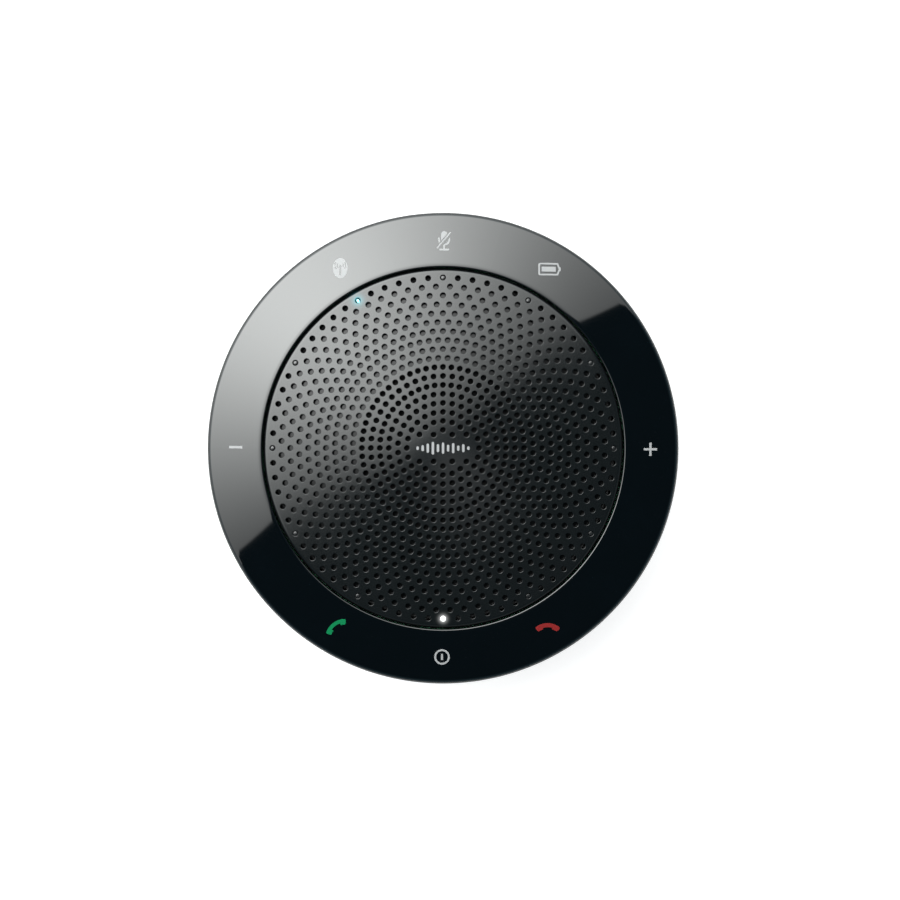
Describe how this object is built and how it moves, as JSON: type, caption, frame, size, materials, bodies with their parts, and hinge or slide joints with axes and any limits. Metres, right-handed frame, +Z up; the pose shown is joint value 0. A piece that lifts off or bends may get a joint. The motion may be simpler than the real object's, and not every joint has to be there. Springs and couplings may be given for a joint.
{
  "type": "conference speakerphone",
  "caption": "Round table-top conference speakerphone with a gloss touch-press control ring, a perforated domed grille and a lead-winding base.",
  "frame": {"origin": "middle of the underside, on the surface the rubber foot rests on", "axes": "+Z up through the middle of the grille, +Y towards the mute key, -Y towards the power key, +X towards the volume up key"},
  "size_m": [0.12, 0.12, 0.033],
  "materials": {
    "ring_gloss": "high gloss moulded black",
    "grille_satin": "satin moulded charcoal",
    "acoustic_cloth": "fine woven cloth",
    "light_pipe": "milky clear moulding",
    "moulded_black": "plain moulded",
    "housing_black": "fine spark texture",
    "circuit_board": "solder mask over glass epoxy",
    "rubber_black": "matte",
    "foot_rubber": "matte, slightly dusty",
    "plated_steel": "zinc plated",
    "screw_steel": "blackened",
    "ferrite": "sintered",
    "copper_wire": "enamelled winding",
    "cone_paper": "pressed fibre",
    "cell_wrap": "shrink wrap",
    "foam_grey": "closed foam",
    "chip_black": "moulded epoxy"
  },
  "bodies": {
    "base_unit": {"speaker_grille": "grille_satin", "acoustic_cloth": "acoustic_cloth", "light_ring": "light_pipe", "top_frame": "moulded_black", "key_board": "circuit_board", "switch_volume_up": "chip_black", "switch_battery": "chip_black", "switch_mute": "chip_black", "switch_wireless": "chip_black", "switch_volume_down": "chip_black", "switch_answer": "chip_black", "switch_power": "chip_black", "switch_end_call": "chip_black", "microphone_boot": "rubber_black", "microphone": "plated_steel", "driver_yoke": "plated_steel", "driver_magnet": "ferrite", "driver_top_plate": "plated_steel", "driver_basket": "moulded_black", "speaker_gasket": "foam_grey", "driver_surround": "rubber_black", "driver_spider": "cone_paper", "main_board": "circuit_board", "processor_chip": "chip_black", "shield_can": "plated_steel", "battery": "cell_wrap", "battery_pad": "foam_grey", "lower_housing": "housing_black", "base_cover": "housing_black", "foot_ring": "foot_rubber", "lead_gland": "rubber_black", "base_screw_1": "screw_steel", "base_screw_2": "screw_steel", "base_screw_3": "screw_steel", "base_screw_4": "screw_steel"},
    "volume_up_key": {"key_volume_up": "ring_gloss", "plunger_volume_up": "moulded_black"},
    "battery_key": {"key_battery": "ring_gloss", "plunger_battery": "moulded_black"},
    "mute_key": {"key_mute": "ring_gloss", "plunger_mute": "moulded_black"},
    "wireless_key": {"key_wireless": "ring_gloss", "plunger_wireless": "moulded_black"},
    "volume_down_key": {"key_volume_down": "ring_gloss", "plunger_volume_down": "moulded_black"},
    "answer_key": {"key_answer": "ring_gloss", "plunger_answer": "moulded_black"},
    "power_key": {"key_power": "ring_gloss", "plunger_power": "moulded_black"},
    "end_call_key": {"key_end_call": "ring_gloss", "plunger_end_call": "moulded_black"},
    "diaphragm": {"driver_cone": "cone_paper", "dust_cap": "cone_paper", "voice_coil": "copper_wire"}
  },
  "joints": [
    {"name": "volume_up_press", "type": "slide", "parent": "base_unit", "child": "volume_up_key", "axis": [0, 0, -1], "range_m": [0, 0.0003], "stiffness_N_per_m": 8000},
    {"name": "battery_press", "type": "slide", "parent": "base_unit", "child": "battery_key", "axis": [0, 0, -1], "range_m": [0, 0.0003], "stiffness_N_per_m": 8000},
    {"name": "mute_press", "type": "slide", "parent": "base_unit", "child": "mute_key", "axis": [0, 0, -1], "range_m": [0, 0.0003], "stiffness_N_per_m": 8000},
    {"name": "wireless_press", "type": "slide", "parent": "base_unit", "child": "wireless_key", "axis": [0, 0, -1], "range_m": [0, 0.0003], "stiffness_N_per_m": 8000},
    {"name": "volume_down_press", "type": "slide", "parent": "base_unit", "child": "volume_down_key", "axis": [0, 0, -1], "range_m": [0, 0.0003], "stiffness_N_per_m": 8000},
    {"name": "answer_press", "type": "slide", "parent": "base_unit", "child": "answer_key", "axis": [0, 0, -1], "range_m": [0, 0.0003], "stiffness_N_per_m": 8000},
    {"name": "power_press", "type": "slide", "parent": "base_unit", "child": "power_key", "axis": [0, 0, -1], "range_m": [0, 0.0003], "stiffness_N_per_m": 8000},
    {"name": "end_call_press", "type": "slide", "parent": "base_unit", "child": "end_call_key", "axis": [0, 0, -1], "range_m": [0, 0.0003], "stiffness_N_per_m": 8000},
    {"name": "diaphragm_stroke", "type": "slide", "parent": "base_unit", "child": "diaphragm", "axis": [0, 0, 1], "range_m": [-0.0008, 0.0008], "stiffness_N_per_m": 1500, "deforming": ["driver_surround", "driver_spider"]}
  ]
}
